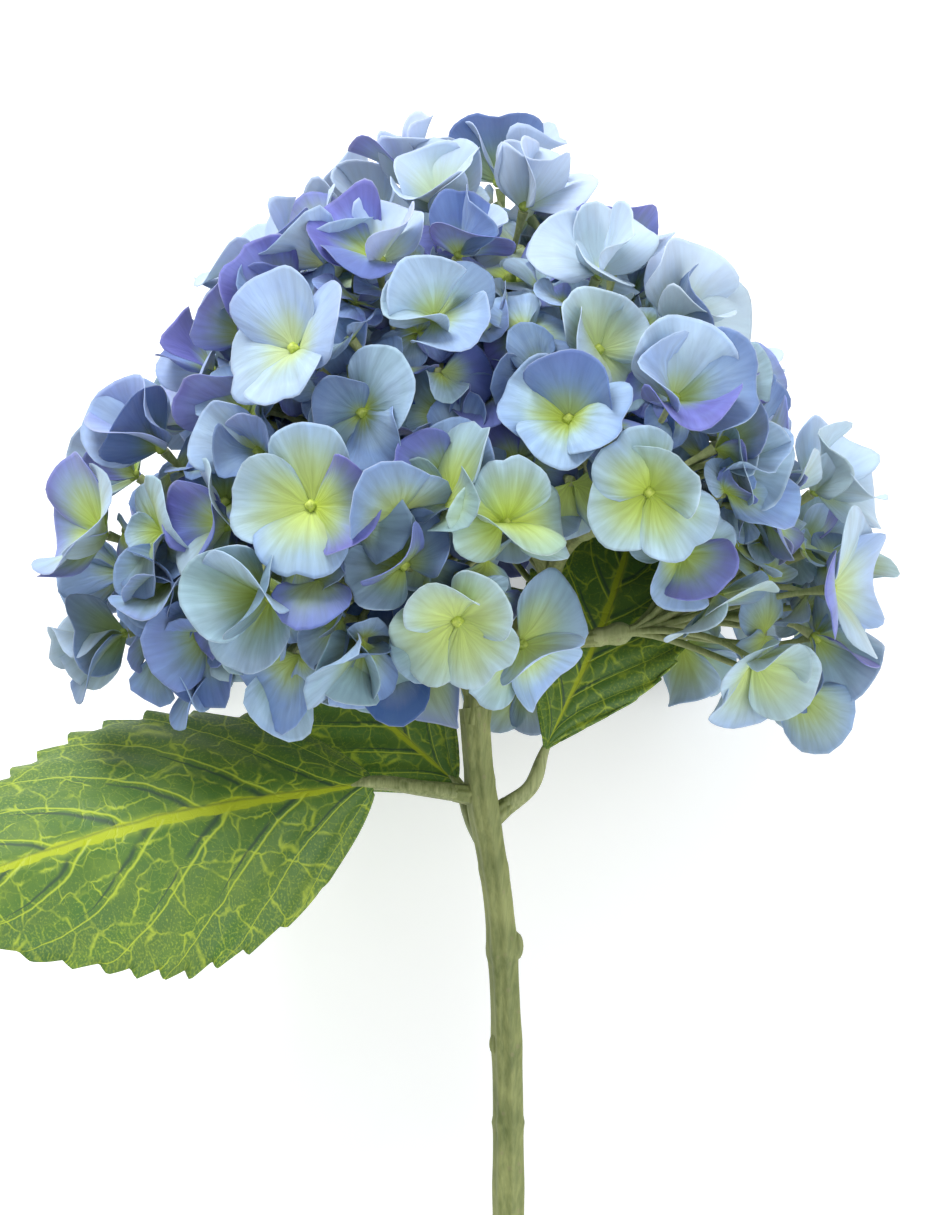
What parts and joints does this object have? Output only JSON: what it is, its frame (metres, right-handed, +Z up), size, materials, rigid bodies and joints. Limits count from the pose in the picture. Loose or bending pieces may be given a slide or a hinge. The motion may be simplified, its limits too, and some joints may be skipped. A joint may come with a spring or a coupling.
{
  "type": "cut hydrangea stem",
  "caption": "Cut hydrangea lying on its back: a domed mophead bloom of four-petalled blue and lavender florets on a ribbed green stem with toothed, veined leaves.",
  "frame": {"origin": "on the surface that the flower lies on, under a petal of the floret that is pressed flat on it nearest to the stem's line", "axes": "+Y along the lying flower, from the cut end of the stem towards the crown of the bloom; +Z up from the surface, towards the side that faced the viewer; +X to the viewer's right"},
  "size_m": [0.2197, 0.3567, 0.164],
  "materials": {
    "stem_green": "satin, ribbed",
    "leaf_green": "matt, veined",
    "petals_sky": "matt, soft",
    "petals_periwinkle": "matt, soft",
    "petals_lavender": "matt, soft"
  },
  "bodies": {
    "root": {"stem": "stem_green", "leaf_left": "leaf_green", "leaf_right": "leaf_green", "leaf_behind": "leaf_green", "spray_crown": "petals_sky", "spray_upper_front_right": "petals_sky", "spray_upper_front_left": "petals_periwinkle", "spray_upper_left": "petals_sky", "spray_upper_back": "petals_periwinkle", "spray_upper_right": "petals_sky", "spray_right": "petals_lavender", "spray_front_right": "petals_periwinkle", "spray_front": "petals_sky", "spray_left": "petals_lavender", "spray_back_left": "petals_sky", "spray_back_right": "petals_periwinkle"}
  },
  "joints": []
}
